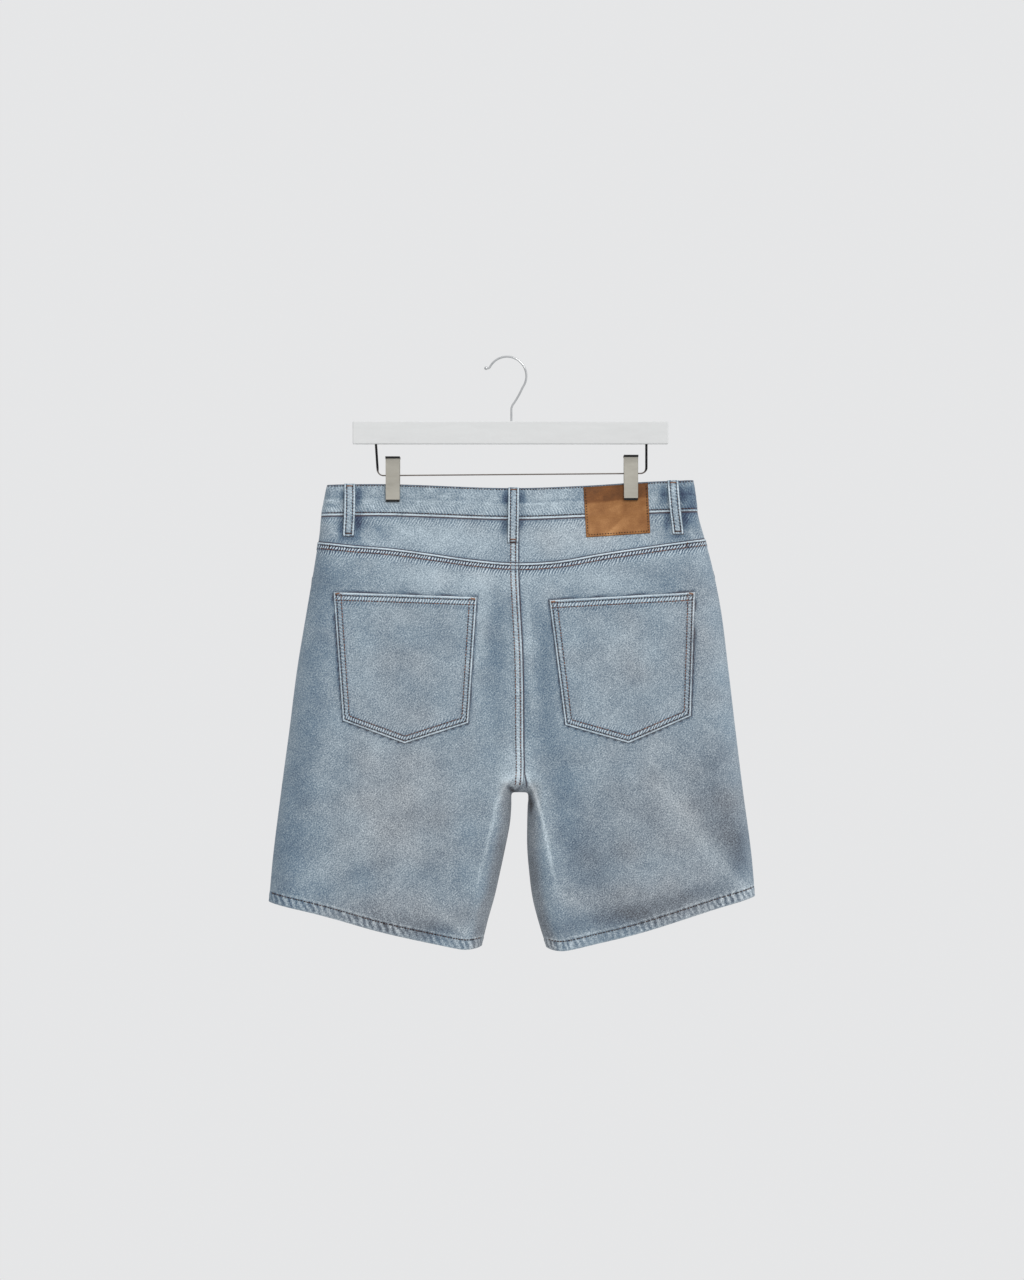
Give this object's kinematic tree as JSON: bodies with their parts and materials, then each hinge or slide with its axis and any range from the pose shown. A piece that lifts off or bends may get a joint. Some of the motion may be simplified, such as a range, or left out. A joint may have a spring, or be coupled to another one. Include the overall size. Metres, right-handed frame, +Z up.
{
  "type": "denim shorts on a clip hanger",
  "caption": "Light-wash denim shorts clipped by the waistband to a white bar hanger, with patch back pockets, belt loops, a bare leather patch and open legs.",
  "frame": {"origin": "under the crown of the hanger's hook, where a rail carries it", "axes": "+Z up, +X towards the wearer's right, +Y towards the front of the shorts; the back faces -Y"},
  "size_m": [0.583, 0.0625, 0.7142],
  "materials": {
    "denim": "washed cotton twill",
    "leather": "matt, lightly creased",
    "white_paint": "white paint, satin",
    "chrome": "polished",
    "dark_steel": "dark, satin",
    "grey_steel": "nickel, satin"
  },
  "bodies": {
    "root": {"back_panel_left": "denim", "back_panel_right": "denim", "back_pocket_left": "denim", "back_pocket_right": "denim", "back_yoke_left": "denim", "back_yoke_right": "denim", "belt_loop_back_centre": "denim", "belt_loop_back_left": "denim", "belt_loop_back_right": "denim", "belt_loop_front_left": "denim", "belt_loop_front_right": "denim", "clip_left_back_plate": "grey_steel", "clip_left_barrel": "dark_steel", "clip_left_front_plate": "grey_steel", "clip_right_back_plate": "grey_steel", "clip_right_barrel": "dark_steel", "clip_right_front_plate": "grey_steel", "fly_shield": "denim", "front_panel_left": "denim", "front_panel_right": "denim", "hanger_bar": "white_paint", "hanger_hook": "chrome", "hanger_wire": "dark_steel", "leather_patch": "leather", "pocket_facing_left": "denim", "pocket_facing_right": "denim", "waist_button": "grey_steel", "waistband": "denim"}
  },
  "joints": []
}
